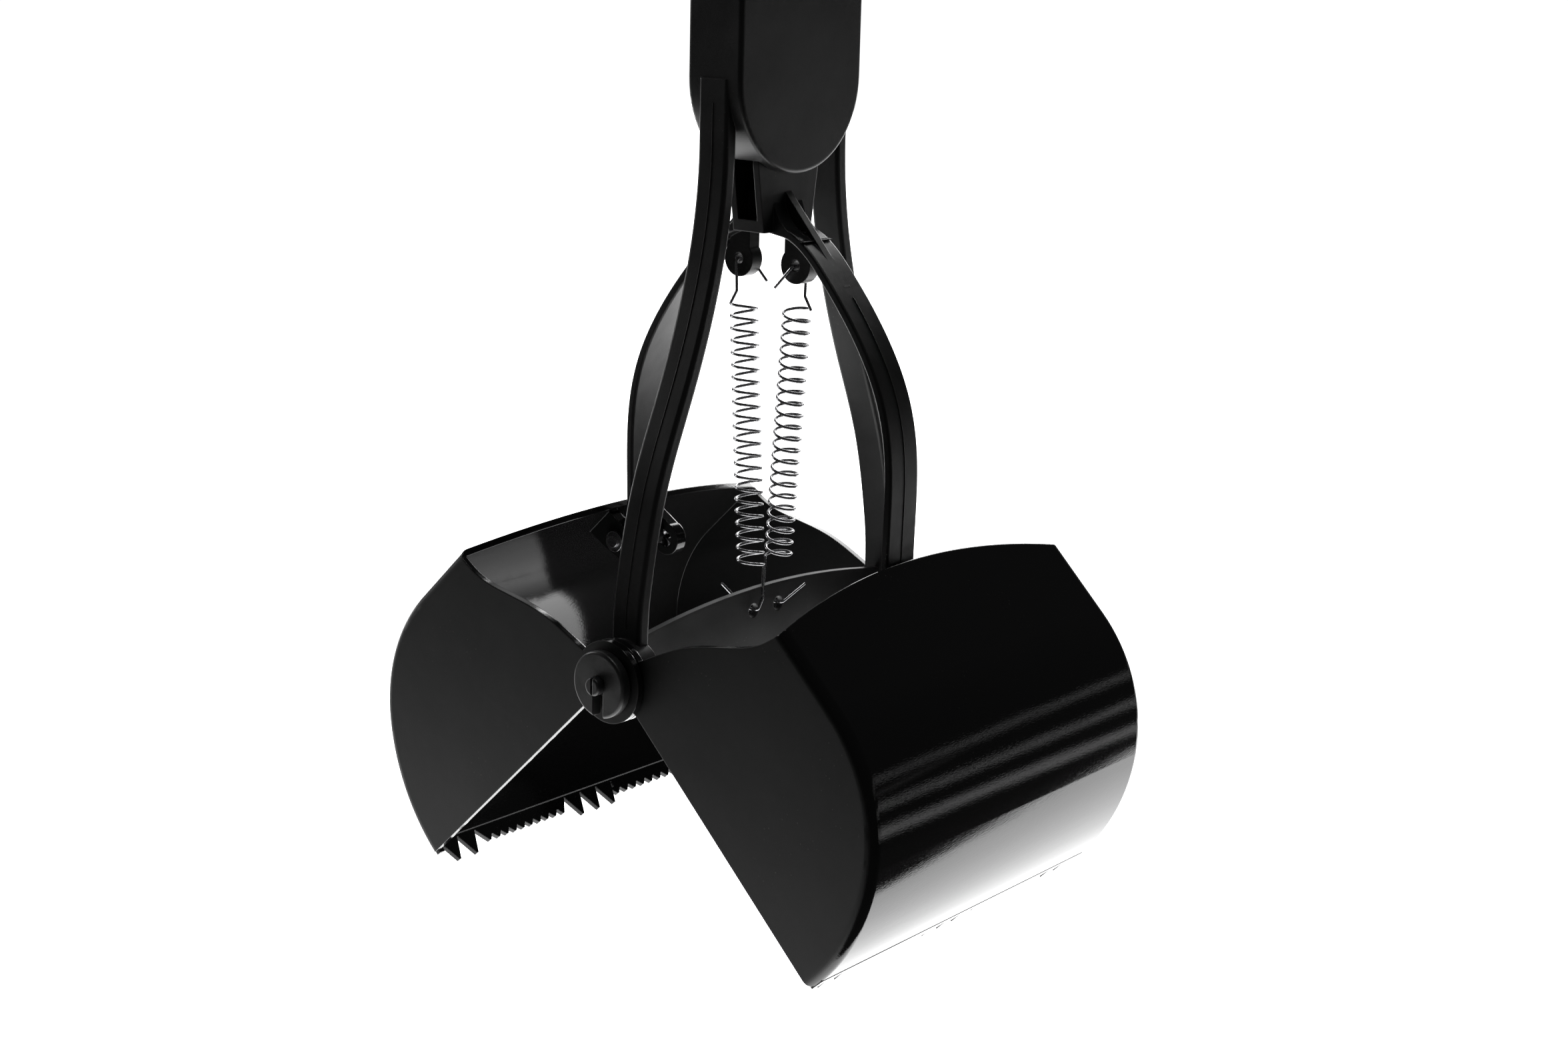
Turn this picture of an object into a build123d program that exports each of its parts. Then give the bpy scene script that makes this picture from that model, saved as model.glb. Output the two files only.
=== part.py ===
"""Long-handled leaf grabber: two toothed jaws on a yoke, opened by a squeeze trigger.

Everything is drawn about the jaw hinge axis, which runs along Y, with X across the mouth and
Z up the handle. The finished pieces are lowered by the handle's height, so the origin is the
centre of the hang hole. The pose drawn is the open one: trigger squeezed, slider raised.
"""
import math
import os

from build123d import *

# ---- Driving sizes, in millimetres and degrees ----

# Jaws
jaw_length = 150.0  # one jaw along the hinge axis, over its side walls
jaw_reach = 115.3  # hinge axis to the lip
jaw_depth = 69.2  # mouth plane to the outside of the back wall
jaw_wall = 2.3
jaw_edge_round = 3.5  # outside rounding between side wall and back wall
nest_gap = 0.5  # between the nested side walls of the two jaws
eye_radius = 13.5
lip_corner_round = 2.0
shoulder_radius = 56.2  # the back wall's upper bend
shoulder_turn = 52.4
belly_height = 59.3  # lip to the start of the upper bend
corner_drop = 28.0  # hinge level to the upper corner, measured down the mouth plane
rim_crown = 10.4  # how far the middle of the rim stands above its ends
open_angle = 45.7
closed_angle = 1.7  # what is left when the teeth mesh

# Teeth on the lip
large_pitch = 8.2
large_root = 2.6  # valleys, inside the mouth plane
large_tip = 5.4  # tips, beyond the mouth plane
small_pitch = 4.27
small_root = 0.7  # valleys, beyond the mouth plane
small_tip = 2.6
tip_width = 0.7
mesh_shift = 1.55  # from the middle to the nearest large tooth, so that facing teeth miss
end_margin = 6.4  # side wall to the middle of the last tooth

# Hinge stack at each end of the hinge axis
axle_radius = 5.0
neck_radius = 2.4
head_radius = 3.0
retainer_radius = 10.9
retainer_thickness = 3.9
hub_radius = 12.5
hub_length = 7.0
stack_gap = 0.35  # side play between stacked pieces
running_fit = 0.06

# Yoke
strap_width = 12.0
strap_thickness = 5.0
strap_edge_round = 1.2
plate_thickness = 2.3
plate_top = 17.4
plate_top_end = 10.7
plate_bottom = -7.0
spring_hole_spread = 6.5
spring_hole_height = 9.7
spring_hole_radius = 2.4

# Housing: the lower part of the handle, moulded with the yoke
housing_width = 22.2
housing_depth = 60.6
housing_wall = 2.2
lobe_bottom = 156.5
housing_top = 232.0
spigot_height = 20.0
spigot_wall = 2.0
shell_fit = 0.15

# Slider: body, arch and two curved arms in one moulding
body_half_x = 6.4
body_half_y = 15.2
body_foot_half_y = 12.0
body_top = 226.0
body_foot = 137.6
pocket_wall = 2.4
web_half = 2.0
slide_gap = 0.4
arm_width = 14.6
arm_thickness = 2.9
arm_inset = 0.8  # the arm's middle line inside the link pins
arm_edge_round = 0.7
# Shares of the span and the drop that the arm's middle line passes through, from its top down
arm_bow = [(0.225, 0.983), (0.491, 0.875), (0.793, 0.68), (0.904, 0.574), (0.977, 0.448), (1, 0.25), (1, 0)]
link_span = 56.8  # hinge axis to each link pin, across the mouth
link_rise = 24.5  # hinge axis to each link pin, up, with the jaws open
link_boss_radius = 4.4
link_pin_radius = 2.0
link_slot_play = 0.75
gusset_thickness = 3.2
tab_offset = 12.05
tab_height = 127.0
tab_radius = 6.0
tab_thickness = 5.0
tab_hole_radius = 1.9

# Ears inside each jaw
ear_thickness = 4.5
ear_gap = 0.5
ear_radius = 5.8

# Springs
wire = 1.0
coil_radius = 4.4
coil_turns = 21.5
coil_phase = 35.0  # where the coil starts, from +X round the coil's axis
coil_top = 112.3
coil_bottom = 25.2

# Grip end of the handle
handle_height = 525.0  # hinge axis to the hang hole, which is the middle of the palm bar
hang_hole_radius = 4.5
palm_bar = 30.0
sleeve_half = 36.0
sleeve_thickness = 1.8
sleeve_round = 8.0
sleeve_proud = 0.6
window_width = 92.0
window_height = 100.0
grip_side = 18.0
grip_corner = 34.0
shaft_depth = 46.0
grip_round = 5.0
trigger_bar = 18.0
trigger_gap = 8.0  # trigger to palm bar when squeezed, and the window's corner radius
trigger_side_gap = 1.2
trigger_thickness = 18.0
stem_x = 9.0
stem_y = 14.0
stem_below_window = 24.0
rod_radius = 3.0
rod_socket = 16.0
rod_pin_radius = 1.5
screw_radius = 1.5
screw_head_radius = 2.9
screw_head_height = 2.2
boss_radius = 4.2
boss_wall = 2.4

# ---- Worked-out sizes ----

jaw_shift = (jaw_wall + nest_gap) / 2
outer_face = jaw_length / 2 + jaw_shift
inner_face = outer_face - 2 * jaw_wall - nest_gap
hub_face = inner_face - stack_gap
link_angle = math.degrees(math.atan2(link_rise, link_span))
link_reach = math.hypot(link_rise, link_span)
slot_angle = link_angle - open_angle
closed_rise = link_span * math.tan(math.radians(slot_angle + closed_angle))
slider_travel = link_rise - closed_rise
lobe_radius = housing_depth / 2
lobe_centre = lobe_bottom + lobe_radius
cavity_half_x = housing_width / 2 - housing_wall
window_top = handle_height - palm_bar / 2
window_bottom = window_top - window_height
trigger_top = window_top - trigger_gap
stem_bottom = window_bottom - stem_below_window
grip_half = window_width / 2 + grip_side


def xz(points):
    """Points of the X-Z plane as 3-D points."""
    return [(x, 0, z) for x, z in points]


def yz(points):
    """Points of the Y-Z plane as 3-D points."""
    return [(0, y, z) for y, z in points]


def prism_y(face, low, high):
    """A face drawn in the X-Z plane, made solid from Y = low to Y = high."""
    return extrude(face.moved(Pos(0, low, 0)), amount=high - low, dir=(0, 1, 0))


def prism_x(face, low, high):
    """A face drawn in the Y-Z plane, made solid from X = low to X = high."""
    return extrude(face.moved(Pos(low, 0, 0)), amount=high - low, dir=(1, 0, 0))


def rod_y(radius, low, high, x=0.0, z=0.0):
    """A round bar along Y."""
    return Pos(x, (low + high) / 2, z) * Rot(90, 0, 0) * Cylinder(radius, high - low)


def rod_x(radius, low, high, y=0.0, z=0.0):
    """A round bar along X."""
    return Pos((low + high) / 2, y, z) * Rot(0, 90, 0) * Cylinder(radius, high - low)


def block(x, y, z):
    """A box given by its lowest and highest value on each axis."""
    size = [high - low for low, high in (x, y, z)]
    middle = [(high + low) / 2 for low, high in (x, y, z)]
    return Pos(*middle) * Box(*size)


def half_turn(shape):
    """The same shape on the other side, turned half way round the handle's axis."""
    return Rot(0, 0, 180) * shape


# ---- Jaws, drawn shut: mouth plane on X = 0, back wall towards +X ----


def back_curve(inset):
    """The back wall's outline, moved inwards: a straight, a shoulder bend and a belly."""
    shoulder = (jaw_depth - shoulder_radius, -(jaw_reach - belly_height))
    turn = math.radians(shoulder_turn)
    inward = (-math.cos(turn), math.sin(turn))
    meet = (shoulder[0] - shoulder_radius * inward[0], shoulder[1] - shoulder_radius * inward[1])
    to_lip = (-meet[0], -jaw_reach - meet[1])
    reach_along = to_lip[0] * inward[0] + to_lip[1] * inward[1]
    belly_radius = (to_lip[0] ** 2 + to_lip[1] ** 2) / (2 * reach_along)
    belly = (meet[0] + belly_radius * inward[0], meet[1] + belly_radius * inward[1])
    lip_angle = math.degrees(math.atan2(-jaw_reach - belly[1], -belly[0])) % 360

    def on_circle(centre, radius, angle):
        a = math.radians(angle)
        return (centre[0] + radius * math.cos(a), centre[1] + radius * math.sin(a))

    r1 = shoulder_radius - inset
    r2 = belly_radius - inset
    join = on_circle(shoulder, r1, -shoulder_turn)
    bend = ThreePointArc(*xz([on_circle(shoulder, r1, a) for a in (0, -shoulder_turn / 2)]), xz([join])[0])
    middle = (lip_angle + 360 - shoulder_turn) / 2
    lip = on_circle(belly, r2, lip_angle)
    floor = ThreePointArc(xz([join])[0], *xz([on_circle(belly, r2, middle), lip]))
    return bend, floor, (shoulder[0] + r1, shoulder[1]), lip


def tub_face(inset, top, mouth):
    """The region inside the back curve, closed by a flat top and by a line beyond the mouth."""
    bend, floor, start, lip = back_curve(inset)
    outline = Polyline(*xz([lip, (mouth, lip[1]), (mouth, top), (start[0], top), start]))
    return make_face(Wire([*bend.edges(), *floor.edges(), *outline.edges()]))


def side_top():
    """What lies above the side wall's S-shaped top edge."""
    corner = (jaw_depth + 1, -corner_drop)
    dip = (jaw_depth * 0.73, -corner_drop * 0.76)
    hump = (jaw_depth * 0.47, -corner_drop * 0.33)
    eye = (eye_radius * 0.9, -eye_radius * 0.1)
    edge = Spline(*xz([eye, hump, dip, corner]), tangents=[(1, 0, -0.36), (1, 0, -0.08)])
    high = eye_radius + rim_crown + corner_drop
    rest = Polyline(*xz([corner, (corner[0], high), (-high, high), (-high, 0), (0, 0), eye]))
    return make_face(Wire([*edge.edges(), *rest.edges()]))


def tooth(centre, pitch, root, tip):
    """A pointed tooth in the lip's plane, from its root line to its tip, as a tall prism."""
    base = pitch * 0.47
    corners = [(root + 1, -base), (root, -base), (-tip, -tip_width / 2)]
    outline = corners + [(x, -y) for x, y in reversed(corners)]
    face = make_face(Polyline(*[(x, centre + y, 0) for x, y in outline], close=True))
    return extrude(face, amount=jaw_wall * 3, both=True).moved(Pos(0, 0, -jaw_reach))


def lip_rows():
    """Centres of the large, short and small teeth, placed so that two jaws face to face mesh.

    A short tooth is as wide as a large one and as low as a small one; its side is the large group's.
    """
    middle = [-mesh_shift - jaw_shift + large_pitch * i for i in (-1, 0, 1)]
    last = jaw_length / 2 - jaw_wall - end_margin
    other_last = -(last + 2 * jaw_shift - large_pitch / 2)
    large = middle + [last, last - large_pitch, other_last, other_last + large_pitch]
    short = [(middle[2] + large_pitch, -1), (last - 2 * large_pitch, 1)]
    small = spread(short[0][0] + small_pitch, short[1][0] - small_pitch)
    small += spread(other_last + large_pitch + 1.2 * small_pitch, middle[0] - small_pitch)
    return large, short, small


def spread(first, last):
    """Evenly spaced places from first to last, about one small pitch apart."""
    steps = round((last - first) / small_pitch)
    return [first + (last - first) * i / steps for i in range(steps + 1)]


def toothed_lip(tub):
    """The tub with its straight lip replaced by large, short and small teeth."""
    inner = jaw_length / 2 - jaw_wall
    low = (-jaw_reach - 5, -jaw_reach + 12)
    large, short, small = lip_rows()
    edge = block((-small_root, large_root + 2), (-inner, inner), low)
    above = -small_root - 1
    teeth = [tooth(y, small_pitch, -small_root, small_tip) for y in small]
    for y in large:
        edge -= block((above, large_root), (y - large_pitch / 2, y + large_pitch / 2), low)
        teeth.append(tooth(y, large_pitch, large_root, large_tip))
    for y, side in short:
        reach = sorted((y, y + side * large_pitch / 2))
        edge -= block((above, large_root), reach, low)
        teeth.append(tooth(y, large_pitch, large_root, small_tip))
    band = prism_y(lip_band(large_tip), -inner, inner)
    tub -= block((-1, large_root + 1), (-inner, inner), low)
    return tub + (band & (Part() + teeth + edge))


def lip_band(extra):
    """A thin continuation of the belly beyond the mouth plane, from which the teeth are cut."""
    bend, floor, start, lip = back_curve(0)
    ahead = floor % 1
    slope = ahead.Z / ahead.X
    inside = large_root + 2
    low = [(lip[0] + inside, lip[1] + inside * slope), (lip[0] - extra, lip[1] - extra * slope)]
    outline = low + [(x, z + jaw_wall * 0.8) for x, z in reversed(low)]
    return make_face(Polyline(*xz(outline), close=True))


def jaw_shell():
    """The moulded tub: back wall, two side walls and two eyes, with no teeth yet."""
    rim_level = rim_crown - corner_drop
    half = jaw_length / 2
    outside = prism_y(tub_face(0, 0, 0), -half, half)
    long_edges = [e for e in outside.edges() if on_back_edge(e, half)]
    outside = fillet(long_edges, jaw_edge_round)
    inside = prism_y(tub_face(jaw_wall, 5, -5), -half + jaw_wall, half - jaw_wall)
    tub = outside - inside
    behind = block((jaw_depth - jaw_wall, jaw_depth + 20), (-jaw_length, jaw_length), (-jaw_reach, 80))
    tub -= prism_y(side_top(), -jaw_length, jaw_length) - behind
    arc = ThreePointArc(*yz([(-half, -corner_drop), (0, rim_level), (half, -corner_drop)]))
    over = Polyline(*yz([(half, -corner_drop), (half, 40), (-half, 40), (-half, -corner_drop)]))
    crown = make_face(Wire([*arc.edges(), *over.edges()]))
    tub -= prism_x(crown, jaw_depth - jaw_wall, jaw_depth + 10)
    for side in (-1, 1):
        low, high = sorted((side * half, side * (half - jaw_wall)))
        r = lip_corner_round
        sliver = block((-1, r), (low, high), (-jaw_reach - 1, r - jaw_reach))
        tub -= sliver - rod_y(r, low, high, r, r - jaw_reach)
        tub += rod_y(eye_radius, low, high)
    return tub


def on_back_edge(edge, half):
    """True for the outside edges between the back wall and a side wall."""
    middle = edge @ 0.5
    on_side = abs(abs(middle.Y) - half) < 0.01
    ends = (edge @ 0, edge @ 1)
    on_mouth = all(abs(p.X) < 0.01 for p in ends)
    on_top = all(abs(p.Z) < 0.01 for p in ends)
    return on_side and not on_mouth and not on_top


def ear(low, high):
    """One of the two ears that hold a link pin: a tongue from the back wall with a radial slot."""
    angle = math.radians(slot_angle)
    along = (math.cos(angle), math.sin(angle))
    tip = (link_span * along[0], link_span * along[1])
    far = (link_reach * along[0], link_reach * along[1])
    wall = jaw_depth - jaw_wall / 2
    rim = rim_crown - corner_drop
    top = [(tip[0] + 1, tip[1] + ear_radius * 0.95), (wall, rim - 2)]
    foot = [(wall, far[1] - ear_radius - 3), (far[0], far[1] - ear_radius)]
    foot += [(tip[0] - 1, tip[1] - ear_radius * 0.9)]
    tongue = rod_y(ear_radius, low, high, tip[0], tip[1])
    tongue += prism_y(make_face(Polyline(*xz(top + foot), close=True)), low, high)
    width = 2 * (link_pin_radius + link_slot_play)
    length = link_reach - link_span
    middle = ((tip[0] + far[0]) / 2, (tip[1] + far[1]) / 2)
    slot = Pos(middle[0], (low + high) / 2, middle[1]) * Rot(0, -slot_angle, 0)
    tongue -= slot * Box(length, high - low + 2, width)
    for x, z in (tip, far):
        tongue -= rod_y(width / 2, low - 1, high + 1, x, z)
    return tongue


def jaw():
    """One jaw, shut, with its teeth, ears and axle holes, stepped along the hinge to nest."""
    shell = toothed_lip(jaw_shell()).moved(Pos(0, jaw_shift, 0))
    for side in (-1, 1):
        near = arm_width / 2 + ear_gap
        low, high = sorted((side * near, side * (near + ear_thickness)))
        shell += ear(low, high)
    shell -= rod_y(axle_radius + running_fit, -jaw_length, jaw_length)
    return shell


def opened(shape):
    """A jaw turned from shut to the open pose."""
    return Rot(0, -open_angle, 0) * shape


# ---- Yoke and housing: one moulding ----


def lobe_face(inset, top):
    """The U-shaped side view of the housing, open upwards at the given level."""
    r = lobe_radius - inset
    arc = ThreePointArc(*yz([(-r, lobe_centre), (0, lobe_centre - r), (r, lobe_centre)]))
    rest = Polyline(*yz([(r, lobe_centre), (r, top), (-r, top), (-r, lobe_centre)]))
    return make_face(Wire([*arc.edges(), *rest.edges()]))


def housing():
    """A hollow box with round side lobes, open at the top and slotted below for the slider."""
    half = housing_width / 2
    outside = prism_x(lobe_face(0, housing_top), -half, half)
    rounds = [e for e in outside.edges() if abs(abs((e @ 0.5).X) - half) < 0.01]
    outside = fillet([e for e in rounds if (e @ 0.5).Z < housing_top - 1], 1.4)
    body = outside - prism_x(lobe_face(housing_wall, housing_top + 1), -cavity_half_x, cavity_half_x)
    slot_x = body_half_x + slide_gap
    slot_y = body_half_y + slide_gap
    body -= block((-slot_x, slot_x), (-slot_y, slot_y), (lobe_bottom - 5, lobe_centre))
    for side in (-1, 1):
        low, high = sorted((side * slot_y, side * (slot_y + housing_wall)))
        body += block((-cavity_half_x, cavity_half_x), (low, high), (lobe_centre - 14, housing_top - 6))
        near, far = sorted((side * slot_x, side * cavity_half_x))
        for y in (-body_half_y * 0.6, body_half_y * 0.6):
            body += block((near, far), (y - 1, y + 1), (lobe_centre - 10, housing_top - 6))
    return body


def spigot():
    """The reduced sleeve on which the handle shells sit."""
    half_x = cavity_half_x - shell_fit
    half_y = housing_depth / 2 - housing_wall - shell_fit
    low = housing_top - housing_wall
    sleeve = block((-half_x, half_x), (-half_y, half_y), (low, housing_top + spigot_height))
    across = (-housing_width / 2, housing_width / 2)
    sleeve += block(across, (-housing_depth / 2, housing_depth / 2), (low, housing_top))
    bore_x = half_x - spigot_wall
    bore_y = half_y - spigot_wall
    sleeve -= block((-bore_x, bore_x), (-bore_y, bore_y), (low - 1, housing_top + spigot_height + 1))
    for y, z in neck_screw_places():
        sleeve += rod_x(boss_radius, -half_x, half_x, y, z)
        sleeve -= rod_x(screw_radius + shell_fit, -half_x - 1, half_x + 1, y, z)
    return sleeve


def neck_screw_places():
    """Where the two screws pass through the spigot, as (Y, Z)."""
    y = housing_depth / 2 - housing_wall - boss_radius - 3
    return [(side * y, housing_top + spigot_height / 2) for side in (-1, 1)]


def strap_path():
    """The middle line of one yoke strap, from inside the housing's front face to the hub."""
    top_y = -(housing_depth / 2 + 0.3 - strap_thickness / 2)
    foot_y = -(hub_face - strap_thickness / 2 - 2.6)
    span = foot_y - top_y
    bow = [(0.12, 0.775), (0.48, 0.53), (0.79, 0.352), (0.955, 0.185)]
    start = lobe_centre - 20
    points = [(top_y, start)] + [(top_y + span * s, start * h) for s, h in bow] + [(foot_y, 6)]
    curve = Spline(*yz(points), tangents=[(0, 0, -1), (0, 0, -1)])
    lead = Line(*yz([(top_y, lobe_centre), (top_y, start)]))
    tail = Line(*yz([(foot_y, 6), (foot_y, 0)]))
    return Wire([*lead.edges(), *curve.edges(), *tail.edges()])


def strap():
    """One yoke strap, a rounded flat bar swept along its bow."""
    path = strap_path()
    start = Plane(origin=path @ 0, x_dir=(1, 0, 0), z_dir=(0, 0, -1))
    section = start * RectangleRounded(strap_width, strap_thickness, strap_edge_round)
    return sweep(section, path=path)


def hub():
    """The round boss at the foot of a strap, bored for the axle."""
    return rod_y(hub_radius, -hub_face, -hub_face + hub_length)


def cross_plate():
    """The thin plate between the two hubs, with a crowned top edge and the spring holes."""
    end = hub_face - hub_length / 2
    arc = ThreePointArc(*yz([(-end, plate_top_end), (0, plate_top), (end, plate_top_end)]))
    below = [(end, plate_bottom), (-end, plate_bottom)]
    low = Polyline(*yz([(end, plate_top_end), *below, (-end, plate_top_end)]))
    face = make_face(Wire([*arc.edges(), *low.edges()]))
    plate = prism_x(face, -plate_thickness / 2, plate_thickness / 2)
    for side in (-1, 1):
        plate -= rod_x(spring_hole_radius, -5, 5, side * spring_hole_spread, spring_hole_height)
    return plate


def frame():
    """Housing, straps, hubs and cross plate in one piece."""
    whole = housing() + spigot()
    arm = strap() + hub()
    across = (-body_half_x - 1, body_half_x + 1)
    inside = block(across, (-body_half_y - 1, body_half_y + 1), (100, housing_top + 60))
    arm -= inside
    whole = whole + arm + half_turn(arm) + cross_plate()
    for turn in (0, 180):
        bore = rod_y(axle_radius, -hub_face - 1, -hub_face + hub_length - 1.5)
        whole -= Rot(0, 0, turn) * bore
    return whole


# ---- Hinge stack, drawn at the front end ----


def axle():
    """The stub axle: a journal through both eyes, a neck for the retainer and a slotted head."""
    washer_face = -outer_face - stack_gap
    root = -hub_face + hub_length - 1.5
    pin = rod_y(axle_radius, washer_face, root)
    neck_end = washer_face - retainer_thickness - 2 * running_fit
    pin += rod_y(neck_radius, neck_end, washer_face)
    head = rod_y(head_radius, neck_end - 2.8, neck_end)
    head = fillet(head.edges().filter_by(GeomType.CIRCLE).sort_by(Axis.Y)[0], 0.8)
    slot = block((-0.4, 0.4), (neck_end - 4, neck_end - 1.9), (-head_radius, head_radius))
    return pin + (head - slot)


def retainer():
    """The round retaining disc, with a keyhole that slides over the axle's neck."""
    face = -outer_face - stack_gap - running_fit
    disc = rod_y(retainer_radius, face - retainer_thickness, face)
    disc = fillet(disc.edges().filter_by(GeomType.CIRCLE), 1.0)
    slot_half = neck_radius + running_fit
    disc -= rod_y(slot_half, face - 10, face + 1)
    mouth = slot_half * 0.92
    disc -= block((-mouth, mouth), (face - 10, face + 1), (-retainer_radius - 1, -neck_radius / 2))
    return disc


# ---- Slider ----


def arch_path():
    """The middle line of both arms, from one link pin over the arch to the other."""
    crest = body_foot + arm_thickness / 2
    drop = crest - link_rise
    line = link_span - arm_inset
    right = [(line * across, link_rise + drop * up) for across, up in arm_bow]
    left = [(-x, z) for x, z in reversed(right)]
    return Spline(*xz(left + [(0, crest)] + right))


def arch():
    """Both curved arms as one strap, with their bosses, fairings and gussets."""
    path = arch_path()
    start = Plane(origin=path @ 0, x_dir=(0, 1, 0), z_dir=path % 0)
    strap_section = start * RectangleRounded(arm_width, arm_thickness, arm_edge_round)
    both = sweep(strap_section, path=path)
    half = arm_width / 2
    root = rod_y(link_boss_radius, -half, half, link_span, link_rise) + fairing() + gusset()
    return both + root + half_turn(root)


def fairing():
    """The hollow curve that carries the body's side face into the arm."""
    base = body_foot + arm_thickness / 2
    top = (body_half_x - 0.5, base + 11)
    outer = (body_half_x + 13, base - 3.4)
    middle = (body_half_x + 3.4, base + 1.8)
    curve = ThreePointArc(*xz([top, middle, outer]))
    rest = Polyline(*xz([outer, (body_half_x + 11, base - 3.6), (0, base - 1), (0, top[1]), top]))
    face = make_face(Wire([*curve.edges(), *rest.edges()]))
    return prism_y(face, -arm_width / 2, arm_width / 2)


def gusset():
    """The thin rib from the body's side to the arm."""
    high = (body_half_x - 0.5, body_foot + 13.4)
    foot = (link_span * 0.56, link_rise + (body_foot - link_rise) * 0.862)
    low = (body_half_x - 0.5, body_foot + 1)
    face = make_face(Polyline(*xz([high, foot, (foot[0] - 4, foot[1] + 1), low]), close=True))
    return prism_y(face, -gusset_thickness / 2, gusset_thickness / 2)


def slider_body():
    """The cored body: an I-section between two cheeks, closed at the foot."""
    taper_top = lobe_bottom + 3
    side = [(-body_foot_half_y, body_foot), (body_foot_half_y, body_foot), (body_half_y, taper_top)]
    side += [(body_half_y, body_top), (-body_half_y, body_top), (-body_half_y, taper_top)]
    face = make_face(Polyline(*yz(side), close=True))
    body = prism_x(face, -body_half_x, body_half_x)
    core = body_half_x - pocket_wall
    floor = body_foot + 3.9
    for turn in (0, 180):
        pocket = block((-core, core), (-body_half_y - 1, -web_half), (floor, body_top - 12))
        body -= Rot(0, 0, turn) * pocket
    body -= Pos(0, 0, body_top - rod_socket / 2) * Cylinder(rod_radius + running_fit, rod_socket)
    body -= rod_x(rod_pin_radius, -body_half_x - 1, body_half_x + 1, 0, body_top - 6)
    return body


def spring_tab():
    """The eared disc on which the left spring hangs."""
    half = tab_thickness / 2
    disc = rod_y(tab_radius, -half, half, -tab_offset, tab_height)
    neck = block((-tab_offset - 3.6, -tab_offset + 4.6), (-half, half), (tab_height, body_foot + 0.6))
    hole = rod_y(tab_hole_radius, -half - 1, half + 1, -tab_offset, tab_height)
    return disc + neck - hole


def slider():
    """Body, two arms and two spring tabs in one moulding."""
    whole = slider_body() + arch()
    whole = whole + spring_tab() + half_turn(spring_tab())
    for side in (-1, 1):
        whole -= rod_y(link_pin_radius + running_fit, -arm_width, arm_width, side * link_span, link_rise)
    return whole


def link_pin():
    """The pin through the right jaw's ears and the arm's boss, headed at the front."""
    near = arm_width / 2 + ear_gap + ear_thickness
    head = -near - ear_gap
    pin = rod_y(link_pin_radius, head, near + ear_gap + 1.8, link_span, link_rise)
    cap = rod_y(link_pin_radius * 1.8, head - 1.8, head, link_span, link_rise)
    cap = fillet(cap.edges().filter_by(GeomType.CIRCLE).sort_by(Axis.Y)[0], 0.7)
    return pin + cap


def link_clip():
    """The push-on ring at the back end of a link pin."""
    near = arm_width / 2 + 2 * ear_gap + ear_thickness
    ring = rod_y(link_pin_radius * 1.8, near, near + 1.0, link_span, link_rise)
    return ring - rod_y(link_pin_radius, near - 1, near + 2, link_span, link_rise)


# ---- Springs, drawn for the left tab ----


def wire_along(points, bend):
    """Spring wire along straight runs joined by bends."""
    path = FilletPolyline(*points, radius=bend)
    section = Plane(origin=path @ 0, z_dir=path % 0) * Circle(wire / 2)
    return sweep(section, path=path)


def spring(tail_rise):
    """An extension spring, stretched, with a straight-tailed hook at each end."""
    tab_face = tab_thickness / 2 + wire
    top = Vector(-tab_offset + 2.2, -tab_face + 1.6, coil_top)
    bottom = Vector(-0.4, -spring_hole_spread - 0.2, coil_bottom)
    axis = top - bottom
    coil = Helix(axis.length / coil_turns, axis.length, coil_radius)
    phase = math.radians(coil_phase)
    start = (math.cos(phase), math.sin(phase), 0)
    coil = Plane(origin=bottom, x_dir=start, z_dir=axis.normalized()) * coil
    turn = Plane(origin=coil @ 0, z_dir=coil % 0) * Circle(wire / 2)
    body = sweep(turn, path=coil, is_frenet=True)
    low = coil @ 0
    high = coil @ 1
    hole = (-tab_offset, tab_height)
    upper = [
        (high.X, high.Y, high.Z),
        (-tab_offset + 0.4, -tab_face, coil_top + 4.0),
        (hole[0], -tab_face, hole[1] + 0.2),
        (hole[0] + 0.3, tab_face, hole[1] - 0.3),
        (hole[0] + 6.5, tab_face + 1.2, hole[1] - 7.6),
    ]
    side = plate_thickness / 2 + wire + 0.4
    eye = (-spring_hole_spread, spring_hole_height)
    lower = [
        (low.X, low.Y, low.Z),
        (low.X - 0.2, low.Y + 0.2, coil_bottom - 3),
        (side + 0.4, eye[0] + 2.6, eye[1] + 4.2),
        (side, eye[0] + 0.6, eye[1] + 0.3),
        (-side, eye[0] - 0.4, eye[1] + 0.6),
        (-side - 1.5, eye[0] - 10.5, eye[1] + tail_rise),
    ]
    knuckle = wire * 0.56
    whole = body + Pos(*low) * Sphere(knuckle) + Pos(*high) * Sphere(knuckle)
    return whole + wire_along(upper, 1.0) + wire_along(lower, 0.8)


# ---- Handle shells, trigger and what joins them ----


def grip_outline(inset):
    """The handle's side view above the housing: shaft, flare and closed grip."""
    top = handle_height + palm_bar / 2 - inset
    foot = housing_depth / 2 - inset
    waist = shaft_depth / 2 - inset
    wide = grip_half - inset
    base = housing_top + 20
    flare = window_bottom - 34
    points = [(foot, housing_top), (foot, base + 4), (waist, base + 70), (waist, flare - 8)]
    points += [(wide, window_bottom - 4), (wide, top), (0, top)]
    radii = [40, 60, 30, 34 - inset, grip_corner - inset]
    right = FilletPolyline(*yz(points), radius=radii)
    left = mirror(right, about=Plane.XZ)
    close = Line(*yz([(-foot, housing_top), (foot, housing_top)]))
    return make_face(Wire([*right.edges(), *left.edges(), *close.edges()]))


def window_face(grow):
    """The finger window's outline."""
    half = window_width / 2 + grow
    rect = Pos(0, 0, 0) * RectangleRounded(2 * half, window_height + 2 * grow, trigger_gap + grow)
    plane = Plane(origin=(0, 0, (window_top + window_bottom) / 2), x_dir=(0, 1, 0), z_dir=(1, 0, 0))
    return plane * rect


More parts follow.
